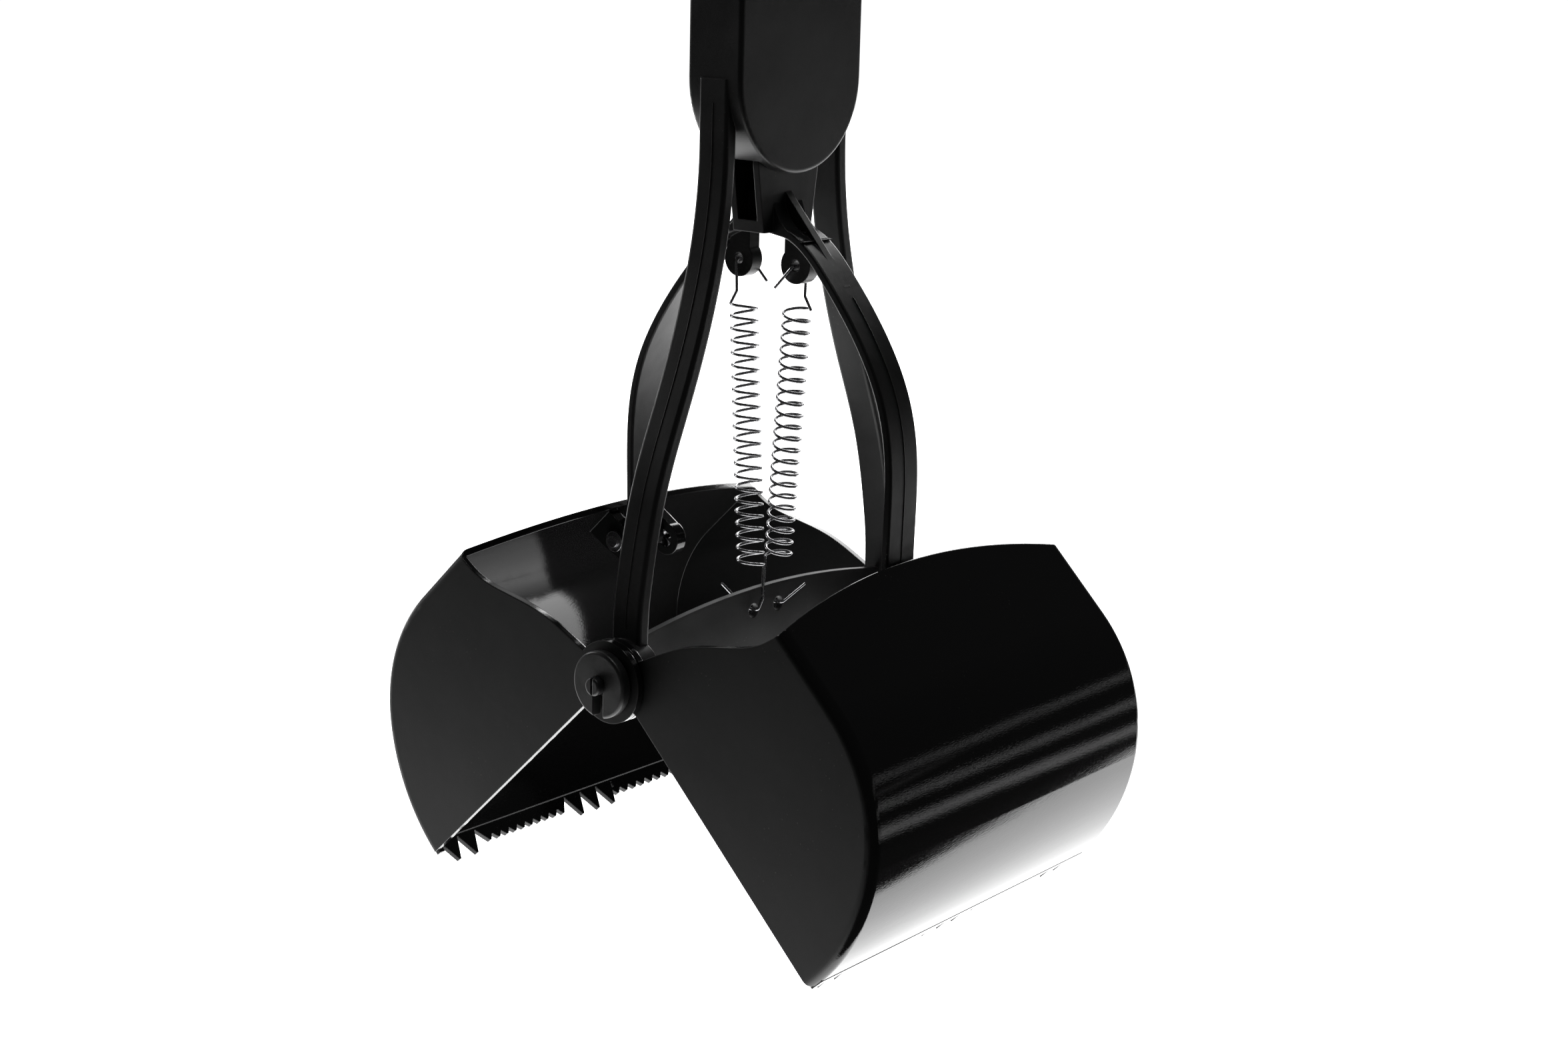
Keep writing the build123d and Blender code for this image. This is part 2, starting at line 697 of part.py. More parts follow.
def screw_places():
    """Where the shells are screwed together, as (Y, Z)."""
    side = shaft_depth / 2 - housing_wall - boss_radius - 0.5
    corner = grip_half - grip_side / 2
    rows = [(side, housing_top + 88), (side, window_bottom - 36), (corner, window_bottom + 12)]
    rows.append((corner - 5, window_top + 11))
    return [(s * y, z) for y, z in rows for s in (-1, 1)]


def palm_tube(inset, reach):
    """The solid bar across the top of the grip, its section drawn in by the inset."""
    section = RectangleRounded(housing_width - 2 * inset, palm_bar - 2 * inset, sleeve_round - inset)
    plane = Plane(origin=(0, -reach, handle_height), x_dir=(1, 0, 0), z_dir=(0, 1, 0))
    return extrude(plane * section, amount=2 * reach)


def grip_sleeve():
    """The soft sleeve round the palm bar, open round the hang hole's boss."""
    outside = palm_tube(-sleeve_proud, sleeve_half - shell_fit)
    ends = [e for e in outside.edges() if abs(abs((e @ 0.5).Y) - sleeve_half + shell_fit) < 0.01]
    sleeve = fillet(ends, sleeve_proud) - palm_tube(sleeve_thickness - shell_fit, sleeve_half + 1)
    return sleeve - rod_x(hang_hole_radius + boss_wall + shell_fit, -30, 30, 0, handle_height)


def handle_whole():
    """Both shells as one hollow piece, with its screw bosses and the hang hole."""
    half = housing_width / 2
    solid = prism_x(grip_outline(0), -half, half)
    rounds = [e for e in solid.edges() if abs(abs((e @ 0.5).X) - half) < 0.01]
    solid = fillet([e for e in rounds if (e @ 0.5).Z > housing_top + 30], 3.0)
    inner = half - housing_wall
    hollow = prism_x(grip_outline(housing_wall), -inner, inner)
    deep = housing_depth / 2 - housing_wall
    hollow += block((-inner, inner), (-deep, deep), (housing_top - 1, housing_top + 4))
    hollow -= prism_x(window_face(housing_wall), -half, half)
    shell = solid - hollow
    shell -= prism_x(window_face(0), -half - 1, half + 1)
    tall = (window_top - 1, handle_height + palm_bar)
    shell -= block((-half - 1, half + 1), (-sleeve_half, sleeve_half), tall)
    shell += palm_tube(sleeve_thickness, sleeve_half + 0.1)
    shell -= palm_tube(sleeve_thickness + housing_wall, sleeve_half + 1)
    shell += rod_x(hang_hole_radius + boss_wall, -half, half, 0, handle_height)
    shell -= rod_x(hang_hole_radius, -half - 1, half + 1, 0, handle_height)
    gap = slide_gap
    shell -= block(
        (-stem_x / 2 - gap, stem_x / 2 + gap),
        (-stem_y / 2 - gap, stem_y / 2 + gap),
        (window_bottom - housing_wall - 1, window_bottom + 1),
    )
    for y, z in screw_places():
        shell += rod_x(boss_radius, -inner - 0.1, inner + 0.1, y, z)
    return shell


def handle_shells():
    """The left and right shells, split on the mid-plane, drilled for the screws."""
    whole = handle_whole()
    half = housing_width / 2
    for y, z in screw_places() + neck_screw_places():
        whole -= rod_x(screw_radius + shell_fit, -half + 3, half + 1, y, z)
        whole -= rod_x(screw_head_radius + shell_fit, half - screw_head_height, half + 1, y, z)
    far = grip_half + 20
    tall = (housing_top - 5, handle_height + 40)
    left = whole & block((-half - 5, 0), (-far, far), tall)
    right = whole & block((0, half + 5), (-far, far), tall)
    return left, right


def screw(y, z, tip):
    """One cross-recessed screw, head at the right."""
    half = housing_width / 2
    shank = rod_x(screw_radius, tip, half - screw_head_height, y, z)
    head = rod_x(screw_head_radius, half - screw_head_height + 0.1, half - 0.2, y, z)
    head += rod_x(screw_radius, half - screw_head_height - 0.5, half - screw_head_height + 0.5, y, z)
    for turn in (0, 90):
        slot = Rot(turn, 0, 0) * Box(1.6, 3.2, 0.8)
        head -= Pos(half - 0.6, y, z) * slot
    return shank + head


def screws(places):
    """A set of identical screws as separate solids."""
    return Compound([screw(y, z, 3.2 - housing_width / 2).solid() for y, z in places])


def trigger():
    """The T-shaped trigger: a finger bar with a stem that runs down into the shaft."""
    half = window_width / 2 - trigger_side_gap
    low = trigger_top - trigger_bar
    bar = block((-trigger_thickness / 2, trigger_thickness / 2), (-half, half), (low, trigger_top))
    bar = fillet(bar.edges().filter_by(Axis.Y), 5.0)
    for y in (-half / 2, half / 2):
        groove = Pos(0, y, low - 38) * Rot(0, 90, 0) * Cylinder(40, trigger_thickness + 2)
        bar -= groove
    stem = block((-stem_x / 2, stem_x / 2), (-stem_y / 2, stem_y / 2), (stem_bottom, low + 6))
    whole = bar + stem
    whole -= Pos(0, 0, stem_bottom + rod_socket / 2) * Cylinder(rod_radius + running_fit, rod_socket)
    whole -= rod_x(rod_pin_radius, -stem_x, stem_x, 0, stem_bottom + 8)
    return whole


def pull_rod():
    """The steel rod between the slider's body and the trigger's stem."""
    low = body_top - rod_socket + 1
    high = stem_bottom + rod_socket - 1
    rod = Pos(0, 0, (low + high) / 2) * Cylinder(rod_radius, high - low)
    rod = chamfer(rod.edges().filter_by(GeomType.CIRCLE), 0.5)
    for z in (body_top - 6, stem_bottom + 8):
        rod -= rod_x(rod_pin_radius, -rod_radius - 1, rod_radius + 1, 0, z)
    return rod


def cross_pin(length, z):
    """A plain pin across the rod."""
    pin = rod_x(rod_pin_radius, -length / 2, length / 2, 0, z)
    return chamfer(pin.edges().filter_by(GeomType.CIRCLE), 0.3)


def build():
    """Every piece, by name, in the open pose, about the hinge axis."""
    left_shell, right_shell = handle_shells()
    pin = link_pin()
    right_jaw = opened(jaw())
    return {
        "yoke_frame": frame(),
        "handle_shell_left": left_shell,
        "handle_shell_right": right_shell,
        "handle_screws": screws(screw_places()),
        "neck_screws": screws(neck_screw_places()),
        "jaw_left": half_turn(right_jaw),
        "jaw_right": right_jaw,
        "axle_front": axle(),
        "axle_back": half_turn(axle()),
        "retainer_front": retainer(),
        "retainer_back": mirror(retainer(), about=Plane.XZ),
        "slider": slider(),
        "pull_rod": pull_rod(),
        "rod_pin_lower": cross_pin(2 * body_half_x - 0.4, body_top - 6),
        "rod_pin_upper": cross_pin(stem_x - 0.4, stem_bottom + 8),
        "grip_sleeve": grip_sleeve(),
        "trigger": trigger(),
        "link_pin_left": half_turn(pin),
        "link_pin_right": pin,
        "link_clip_left": half_turn(link_clip()),
        "link_clip_right": link_clip(),
        "spring_left": spring(10.5),
        "spring_right": half_turn(spring(5.5)),
    }


os.makedirs("parts", exist_ok=True)
for name, shape in build().items():
    export_step(shape.moved(Pos(0, 0, -handle_height)), f"parts/{name}.step")
print("slider travel", round(slider_travel, 2), "jaw swing", round(open_angle - closed_angle, 2))
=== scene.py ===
import math

import bpy
from mathutils import Matrix, Vector
from mathutils.bvhtree import BVHTree


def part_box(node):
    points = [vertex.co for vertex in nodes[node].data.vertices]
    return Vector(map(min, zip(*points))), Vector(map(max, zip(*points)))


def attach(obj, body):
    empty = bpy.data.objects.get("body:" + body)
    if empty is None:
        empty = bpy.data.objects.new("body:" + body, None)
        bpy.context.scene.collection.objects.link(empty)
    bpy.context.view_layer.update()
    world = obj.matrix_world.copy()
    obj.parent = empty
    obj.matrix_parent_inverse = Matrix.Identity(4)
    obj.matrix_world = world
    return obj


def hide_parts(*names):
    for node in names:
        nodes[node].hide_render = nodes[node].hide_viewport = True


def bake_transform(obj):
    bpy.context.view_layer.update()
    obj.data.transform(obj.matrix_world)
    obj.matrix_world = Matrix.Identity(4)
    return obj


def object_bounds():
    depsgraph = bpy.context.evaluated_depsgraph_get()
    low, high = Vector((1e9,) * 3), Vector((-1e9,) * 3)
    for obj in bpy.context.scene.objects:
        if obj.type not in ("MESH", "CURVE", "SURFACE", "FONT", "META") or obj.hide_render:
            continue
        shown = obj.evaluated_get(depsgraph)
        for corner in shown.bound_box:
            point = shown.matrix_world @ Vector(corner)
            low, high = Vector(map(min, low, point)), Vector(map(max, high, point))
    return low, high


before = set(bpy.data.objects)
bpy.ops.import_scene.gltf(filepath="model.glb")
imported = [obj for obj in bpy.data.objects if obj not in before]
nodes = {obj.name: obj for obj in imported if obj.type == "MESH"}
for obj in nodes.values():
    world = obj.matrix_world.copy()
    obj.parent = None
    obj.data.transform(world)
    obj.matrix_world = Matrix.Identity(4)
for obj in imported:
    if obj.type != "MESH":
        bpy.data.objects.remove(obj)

cad_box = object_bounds()

# ---- Camera -------------------------------------------------------------------------------
# A close camera a little above the jaws, looking down past the arch at the near side of the
# right jaw. It is tilted by a degree and a half, and its lens gives strong perspective.

hinge_z = (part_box("axle_front")[0].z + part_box("axle_front")[1].z) / 2
azimuth, elevation, roll = math.radians(39.2016), math.radians(13.7005), math.radians(1.4867)
right = Vector((math.cos(azimuth), math.sin(azimuth), 0))
level = math.cos(elevation)
back = Vector((math.sin(azimuth) * level, -math.cos(azimuth) * level, math.sin(elevation)))
up = back.cross(right)
tilted_right = right * math.cos(roll) + up * math.sin(roll)
tilted_up = up * math.cos(roll) - right * math.sin(roll)
camera_data = bpy.data.cameras.new("camera")
camera_place = Vector((0.50254, -0.60614, hinge_z + 0.23103))
camera_data.lens = 55.36
camera_data.sensor_width = 36.0
camera_data.clip_start = 0.02
camera = bpy.data.objects.new("camera", camera_data)
turn = Matrix((tilted_right, tilted_up, back)).transposed().to_4x4()
camera.matrix_world = Matrix.Translation(camera_place) @ turn
bpy.context.scene.collection.objects.link(camera)
bpy.context.scene.camera = camera
bpy.context.scene.view_settings.view_transform = "Standard"

# ---- Floor, world and lights --------------------------------------------------------------
# A plain pale sheet below the hanging tool that runs back behind it and stops just beside and
# in front of it, in a white room whose dim sides leave the glossy plastic dark.

floor_mesh = bpy.data.meshes.new("floor")
floor_z = cad_box[0][2] - 0.09
front_y, far, side_x, side_slope = -0.25, 4.0, 0.149, 0.3
near_corner = (side_x + side_slope * front_y, front_y)
far_corner = (side_x + side_slope * far, far)
outline = [(-far, front_y), near_corner, far_corner, (-far, far)]
floor_mesh.from_pydata([(x, y, floor_z) for x, y in outline], [], [(0, 1, 2, 3)])
floor = bpy.data.objects.new("floor", floor_mesh)
bpy.context.scene.collection.objects.link(floor)
floor_look = bpy.data.materials.new("floor_white")
floor_look.use_nodes = True
floor_shader = floor_look.node_tree.nodes["Principled BSDF"]
floor_shader.inputs["Base Color"].default_value = (0.8, 0.8, 0.8, 1)
floor_shader.inputs["Roughness"].default_value = 0.9
floor_shader.inputs["Specular IOR Level"].default_value = 0.1
floor_shader.inputs["Emission Color"].default_value = (1, 1, 1, 1)
floor_shader.inputs["Emission Strength"].default_value = 2.4
floor_mesh.materials.append(floor_look)

world = bpy.data.worlds.new("studio")
world.use_nodes = True
bpy.context.scene.world = world
wt = world.node_tree
wt.nodes.clear()
direction = wt.nodes.new("ShaderNodeTexCoord")
toward = wt.nodes.new("ShaderNodeVectorMath")
toward.operation = "DOT_PRODUCT"
toward.inputs[1].default_value = -Vector((back.x, back.y, 0)).normalized()
wt.links.new(direction.outputs["Generated"], toward.inputs[0])
behind = wt.nodes.new("ShaderNodeMapRange")
behind.inputs["From Min"].default_value = 0.62
behind.inputs["From Max"].default_value = 0.95
behind.inputs["To Min"].default_value = 0.035
behind.inputs["To Max"].default_value = 0.9
wt.links.new(toward.outputs["Value"], behind.inputs["Value"])
rays = wt.nodes.new("ShaderNodeLightPath")
seen = wt.nodes.new("ShaderNodeMix")
wt.links.new(rays.outputs["Is Camera Ray"], seen.inputs["Factor"])
wt.links.new(behind.outputs["Result"], seen.inputs["A"])
seen.inputs["B"].default_value = 1.3
sky = wt.nodes.new("ShaderNodeBackground")
wt.links.new(seen.outputs["Result"], sky.inputs["Strength"])
out = wt.nodes.new("ShaderNodeOutputWorld")
wt.links.new(sky.outputs[0], out.inputs["Surface"])


def soft_box(name, place, target, width, height, power):
    """A rectangular light aimed at a point."""
    data = bpy.data.lights.new(name, "AREA")
    data.shape = "RECTANGLE"
    data.size = width
    data.size_y = height
    data.energy = power
    lamp = bpy.data.objects.new(name, data)
    lamp.location = place
    lamp.rotation_euler = (Vector(target) - Vector(place)).to_track_quat("-Z", "Y").to_euler()
    bpy.context.scene.collection.objects.link(lamp)


aim = (0, 0, hinge_z + 0.05)
soft_box("box_behind", (-0.5, 1.5, hinge_z + 0.8), aim, 0.9, 0.9, 14)
soft_box("box_left", (-1.5, -0.3, hinge_z + 0.6), aim, 0.3, 0.3, 4.5)
soft_box("box_above", (0.3, 0.1, hinge_z + 1.9), aim, 0.5, 0.5, 5)
soft_box("strip_low", (1.1, 1.1, hinge_z - 0.42), aim, 2.0, 0.09, 0.5)
soft_box("strip_middle", (1.15, 1.1, hinge_z - 0.12), aim, 2.0, 0.05, 0.25)
soft_box("strip_high", (1.15, 1.1, hinge_z + 0.2), aim, 2.0, 0.04, 0.15)

# ---- Jaws ---------------------------------------------------------------------------------
# Both jaws are the CAD's own shape. The black plastic is polished on the curved back wall and
# satin on the flat sides, with moulding ripples, hairline scratches, dust and softened edges.


def node(tree, kind, settings=None, **inputs):
    """A shader node: settings are its options, inputs are numbers or the sockets to join."""
    made = tree.nodes.new(kind)
    for name, value in (settings or {}).items():
        setattr(made, name, value)
    for name, value in inputs.items():
        numbered = name[0] == "i" and name[1:].isdigit()
        socket = made.inputs[int(name[1:]) if numbered else name.replace("_", " ")]
        if isinstance(value, bpy.types.NodeSocket):
            tree.links.new(value, socket)
        else:
            socket.default_value = value
    return made


def group(name, ins, outs):
    """An empty shader node group with float, vector or colour sockets."""
    tree = bpy.data.node_groups.new(name, "ShaderNodeTree")
    for label, kind, value in ins:
        socket = tree.interface.new_socket(label, in_out="INPUT", socket_type="NodeSocket" + kind)
        if value is not None:
            socket.default_value = value
    for label, kind in outs:
        tree.interface.new_socket(label, in_out="OUTPUT", socket_type="NodeSocket" + kind)
    return tree, tree.nodes.new("NodeGroupInput").outputs, tree.nodes.new("NodeGroupOutput").inputs


# Softened edges: the rounded normal, and a mask that is 1 on an edge and 0 on the flat.
edge_tree, gi, go = group(
    "soft_edge", [("Radius", "Float", 0.0005)], [("Edge", "Float"), ("Normal", "Vector")]
)
rounded = node(edge_tree, "ShaderNodeBevel", {"samples": 6}, Radius=gi["Radius"])
flat = node(edge_tree, "ShaderNodeNewGeometry")
match = node(
    edge_tree, "ShaderNodeVectorMath", {"operation": "DOT_PRODUCT"}, i0=rounded.outputs[0],
    i1=flat.outputs["Normal"]
)
mask = node(
    edge_tree, "ShaderNodeMapRange", i0=match.outputs["Value"], i1=0.995, i2=0.85, i3=0.0, i4=1.0
)
edge_tree.links.new(mask.outputs[0], go["Edge"])
edge_tree.links.new(rounded.outputs[0], go["Normal"])

# Moulded grain: fine pits and broad ripples, as a bumped normal and a value for the gloss.
grain_tree, gi, go = group(
    "moulded_grain",
    [("Vector", "Vector", None), ("Fine", "Float", 2500.0), ("Broad", "Float", 40.0), ("Depth", "Float", 0.1),
     ("Ripple", "Float", 0.1), ("Normal", "Vector", None)],
    [("Normal", "Vector"), ("Gloss", "Float")])
fine = node(
    grain_tree, "ShaderNodeTexNoise", Vector=gi["Vector"], Scale=gi["Fine"], Detail=2.0, Roughness=0.6
)
broad = node(
    grain_tree, "ShaderNodeTexNoise", Vector=gi["Vector"], Scale=gi["Broad"], Detail=3.0, Roughness=0.5
)
first = node(
    grain_tree, "ShaderNodeBump", Strength=gi["Ripple"], Distance=0.004, Height=broad.outputs[0],
    Normal=gi["Normal"]
)
second = node(
    grain_tree, "ShaderNodeBump", Strength=gi["Depth"], Distance=0.0002, Height=fine.outputs[0],
    Normal=first.outputs[0]
)
grain_tree.links.new(second.outputs[0], go["Normal"])
grain_tree.links.new(broad.outputs[0], go["Gloss"])

# Hairline scratches: thin broken lines along one direction of the given vector.
scratch_tree, gi, go = group(
    "scratches", [("Vector", "Vector", None), ("Amount", "Float", 0.5)], [("Mask", "Float")]
)
warp = node(scratch_tree, "ShaderNodeTexNoise", Vector=gi["Vector"], Scale=3.0, Detail=1.0)
bent = node(
    scratch_tree, "ShaderNodeMix", {"data_type": "VECTOR"}, i0=0.06, i4=gi["Vector"],
    i5=warp.outputs["Color"]
)
lines = node(
    scratch_tree, "ShaderNodeTexVoronoi", {"feature": "DISTANCE_TO_EDGE"}, Vector=bent.outputs[1],
    Scale=9.0
)
thin = node(
    scratch_tree, "ShaderNodeMapRange", i0=lines.outputs["Distance"], i1=0.0, i2=0.012, i3=1.0, i4=0.0
)
gaps = node(scratch_tree, "ShaderNodeTexNoise", Vector=gi["Vector"], Scale=14.0, Detail=2.0)
keep = node(scratch_tree, "ShaderNodeMapRange", i0=gaps.outputs[0], i1=0.52, i2=0.62, i3=0.0, i4=1.0)
both = node(
    scratch_tree, "ShaderNodeMath", {"operation": "MULTIPLY"}, i0=thin.outputs[0], i1=keep.outputs[0]
)
scaled = node(
    scratch_tree, "ShaderNodeMath", {"operation": "MULTIPLY"}, i0=both.outputs[0], i1=gi["Amount"]
)
scratch_tree.links.new(scaled.outputs[0], go["Mask"])

# Dust: small scattered specks, thicker in some patches.
dust_tree, gi, go = group(
    "dust", [("Vector", "Vector", None), ("Scale", "Float", 700.0), ("Amount", "Float", 0.5)],
    [("Mask", "Float")]
)
cells = node(dust_tree, "ShaderNodeTexVoronoi", Vector=gi["Vector"], Scale=gi["Scale"], Randomness=1.0)
speck = node(
    dust_tree, "ShaderNodeMapRange", i0=cells.outputs["Distance"], i1=0.05, i2=0.13, i3=1.0, i4=0.0
)
patch = node(dust_tree, "ShaderNodeTexNoise", Vector=gi["Vector"], Scale=30.0, Detail=3.0)
some = node(dust_tree, "ShaderNodeMapRange", i0=patch.outputs[0], i1=0.5, i2=0.7, i3=0.0, i4=1.0)
mixed = node(
    dust_tree, "ShaderNodeMath", {"operation": "MULTIPLY"}, i0=speck.outputs[0], i1=some.outputs[0]
)
strong = node(
    dust_tree, "ShaderNodeMath", {"operation": "MULTIPLY"}, i0=mixed.outputs[0], i1=gi["Amount"]
)
dust_tree.links.new(strong.outputs[0], go["Mask"])


def use(tree, shared, **inputs):
    """A shared group placed in a material."""
    placed = node(tree, "ShaderNodeGroup", {"node_tree": shared})
    for name, value in inputs.items():
        socket = placed.inputs[name]
        if isinstance(value, bpy.types.NodeSocket):
            tree.links.new(value, socket)
        else:
            socket.default_value = value
    return placed


def wear(look, *names):
    """Gives CAD nodes a material."""
    for each in names:
        mesh = nodes[each].data
        mesh.materials.clear()
        mesh.materials.append(look)


jaw_look = bpy.data.materials.new("jaw_black")
jaw_look.use_nodes = True
t = jaw_look.node_tree
shader = t.nodes["Principled BSDF"]
place = node(t, "ShaderNodeTexCoord")
soft = use(t, edge_tree, Radius=0.0006)
facing = node(t, "ShaderNodeSeparateXYZ", i0=place.outputs["Normal"])
sideways = node(t, "ShaderNodeMath", {"operation": "ABSOLUTE"}, i0=facing.outputs["Y"])
side = node(t, "ShaderNodeMapRange", i0=sideways.outputs[0], i1=0.75, i2=0.97, i3=0.0, i4=1.0)
along = node(t, "ShaderNodeMapping", i3=(1.0, 0.22, 1.0), Vector=place.outputs["Object"])
grain = use(
    t, grain_tree, Vector=along.outputs[0], Fine=2600.0, Broad=34.0, Depth=0.10, Ripple=0.05,
    Normal=soft.outputs["Normal"]
)
hair = use(t, scratch_tree, Vector=along.outputs[0], Amount=0.8)
lint = use(t, dust_tree, Vector=place.outputs["Object"], Scale=420.0, Amount=0.5)
gloss = node(t, "ShaderNodeMapRange", i0=grain.outputs["Gloss"], i1=0.3, i2=0.7, i3=0.05, i4=0.09)
satin = node(t, "ShaderNodeMapRange", i0=grain.outputs["Gloss"], i1=0.3, i2=0.7, i3=0.46, i4=0.54)
rough = node(t, "ShaderNodeMix", Factor=side.outputs[0], A=gloss.outputs[0], B=satin.outputs[0])
scuffed = node(t, "ShaderNodeMix", Factor=hair.outputs[0], A=rough.outputs["Result"], B=0.45)
shine = node(t, "ShaderNodeMapRange", i0=side.outputs[0], i1=0.0, i2=1.0, i3=0.5, i4=0.2)
t.links.new(shine.outputs[0], shader.inputs["Specular IOR Level"])
tone = node(
    t, "ShaderNodeMix", {"data_type": "RGBA"}, i0=soft.outputs["Edge"], i6=(0.0065, 0.0065, 0.0067, 1),
    i7=(0.016, 0.016, 0.016, 1)
)
dusty = node(
    t, "ShaderNodeMix", {"data_type": "RGBA"}, i0=lint.outputs[0], i6=tone.outputs["Result"],
    i7=(0.09, 0.09, 0.085, 1)
)
t.links.new(dusty.outputs["Result"], shader.inputs["Base Color"])
t.links.new(scuffed.outputs["Result"], shader.inputs["Roughness"])
t.links.new(grain.outputs["Normal"], shader.inputs["Normal"])
shader.inputs["IOR"].default_value = 1.5
wear(jaw_look, "jaw_left", "jaw_right")

# ---- Yoke and housing ---------------------------------------------------------------------
# The CAD's moulding in satin black, with the fine parting seam that the mould leaves down the
# middle of each strap. The seam follows the strap's outer face, found on the CAD's own mesh.

yoke_look = bpy.data.materials.new("yoke_black")
yoke_look.use_nodes = True
t = yoke_look.node_tree
shader = t.nodes["Principled BSDF"]
place = node(t, "ShaderNodeTexCoord")
soft = use(t, edge_tree, Radius=0.0005)
grain = use(
    t, grain_tree, Vector=place.outputs["Object"], Fine=3200.0, Broad=55.0, Depth=0.16, Ripple=0.03,
    Normal=soft.outputs["Normal"]
)
upright = node(t, "ShaderNodeMapping", i3=(1.0, 1.0, 0.16), Vector=place.outputs["Object"])
hair = use(t, scratch_tree, Vector=upright.outputs[0], Amount=0.6)
lint = use(t, dust_tree, Vector=place.outputs["Object"], Scale=650.0, Amount=0.7)
satin = node(t, "ShaderNodeMapRange", i0=grain.outputs["Gloss"], i1=0.3, i2=0.7, i3=0.36, i4=0.46)
scuffed = node(t, "ShaderNodeMix", Factor=hair.outputs[0], A=satin.outputs[0], B=0.62)
tone = node(
    t, "ShaderNodeMix", {"data_type": "RGBA"}, i0=soft.outputs["Edge"], i6=(0.0085, 0.0085, 0.0088, 1),
    i7=(0.022, 0.022, 0.022, 1)
)
dusty = node(
    t, "ShaderNodeMix", {"data_type": "RGBA"}, i0=lint.outputs[0], i6=tone.outputs["Result"],
    i7=(0.12, 0.12, 0.115, 1)
)
t.links.new(dusty.outputs["Result"], shader.inputs["Base Color"])
t.links.new(scuffed.outputs["Result"], shader.inputs["Roughness"])
t.links.new(grain.outputs["Normal"], shader.inputs["Normal"])
wear(yoke_look, "yoke_frame")

# The seam's rule: a thin round bead along whatever curve it is given.
bead_tree = bpy.data.node_groups.new("bead", "GeometryNodeTree")
bead_tree.interface.new_socket("Geometry", in_out="INPUT", socket_type="NodeSocketGeometry")
bead_tree.interface.new_socket("Bead Radius", in_out="INPUT", socket_type="NodeSocketFloat")
bead_tree.interface.new_socket("Look", in_out="INPUT", socket_type="NodeSocketMaterial")
bead_tree.interface.new_socket("Geometry", in_out="OUTPUT", socket_type="NodeSocketGeometry")
gi = bead_tree.nodes.new("NodeGroupInput").outputs
go = bead_tree.nodes.new("NodeGroupOutput").inputs
evened = node(bead_tree, "GeometryNodeResampleCurve", {"mode": "COUNT"}, Curve=gi["Geometry"], Count=90)
ring = node(bead_tree, "GeometryNodeCurvePrimitiveCircle", Resolution=10, Radius=gi["Bead Radius"])
tube = node(
    bead_tree, "GeometryNodeCurveToMesh", Curve=evened.outputs[0], Profile_Curve=ring.outputs[0],
    Fill_Caps=True
)
smooth = node(bead_tree, "GeometryNodeSetShadeSmooth", Geometry=tube.outputs[0])
real = node(bead_tree, "GeometryNodeRealizeInstances", Geometry=smooth.outputs[0])
looked = node(bead_tree, "GeometryNodeSetMaterial", Geometry=real.outputs[0], Material=gi["Look"])
bead_tree.links.new(looked.outputs[0], go["Geometry"])


def poly_curve(name, runs):
    """A curve object of straight-segment splines, one per list of points."""
    data = bpy.data.curves.new(name, "CURVE")
    data.dimensions = "3D"
    for run in runs:
        spline = data.splines.new("POLY")
        spline.points.add(len(run) - 1)
        for point, at in zip(spline.points, run):
            point.co = (*at, 1)
    made = bpy.data.objects.new(name, data)
    bpy.context.scene.collection.objects.link(made)
    return made


def grown(name, source, tree, values, body=None):
    """The source after a geometry node tree, as a plain mesh, riding on a body if one is named."""
    step = source.modifiers.new("rule", "NODES")
    step.node_group = tree
    for item in tree.interface.items_tree:
        if item.in_out == "INPUT" and item.name in values:
            step[item.identifier] = values[item.name]
    bpy.context.view_layer.update()
    baked = bpy.data.meshes.new_from_object(source.evaluated_get(bpy.context.evaluated_depsgraph_get()))
    made = bpy.data.objects.new(name, baked)
    bpy.context.scene.collection.objects.link(made)
    bpy.data.objects.remove(source)
    if body:
        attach(made, body)
    return made


def surface_of(name):
    """The CAD node's mesh, ready to be touched by straight lines."""
    mesh = nodes[name].data
    return BVHTree.FromPolygons(
        [v.co for v in mesh.vertices], [tuple(p.vertices) for p in mesh.polygons]
    )


yoke_skin = surface_of("yoke_frame")
seams = []
for way in (1, -1):
    line = []
    for i in range(44):
        z = hinge_z + 0.016 + i * 0.0038
        hit = yoke_skin.ray_cast(Vector((0, -way * 0.2, z)), Vector((0, way, 0)))[0]
        line.append(Vector((0, hit.y + way * 0.00006, z)))
    seams.append(line)
values = {"Bead Radius": 0.00022, "Look": yoke_look}
seam = grown("yoke_seam", poly_curve("yoke_seam_path", seams), bead_tree, values, "handle")

# ---- Slider -------------------------------------------------------------------------------
# The moving arch: satin black, a little smoother than the yoke, with a parting seam down
# the outer face of each arm.

slider_look = bpy.data.materials.new("slider_black")
slider_look.use_nodes = True
t = slider_look.node_tree
shader = t.nodes["Principled BSDF"]
place = node(t, "ShaderNodeTexCoord")
soft = use(t, edge_tree, Radius=0.0005)
grain = use(
    t, grain_tree, Vector=place.outputs["Object"], Fine=2900.0, Broad=70.0, Depth=0.12, Ripple=0.04,
    Normal=soft.outputs["Normal"]
)
upright = node(t, "ShaderNodeMapping", i3=(1.0, 1.0, 0.2), Vector=place.outputs["Object"])
hair = use(t, scratch_tree, Vector=upright.outputs[0], Amount=0.9)
lint = use(t, dust_tree, Vector=place.outputs["Object"], Scale=520.0, Amount=0.9)
satin = node(t, "ShaderNodeMapRange", i0=grain.outputs["Gloss"], i1=0.3, i2=0.7, i3=0.30, i4=0.40)
scuffed = node(t, "ShaderNodeMix", Factor=hair.outputs[0], A=satin.outputs[0], B=0.6)
tone = node(
    t, "ShaderNodeMix", {"data_type": "RGBA"}, i0=soft.outputs["Edge"], i6=(0.008, 0.008, 0.0083, 1),
    i7=(0.02, 0.02, 0.02, 1)
)
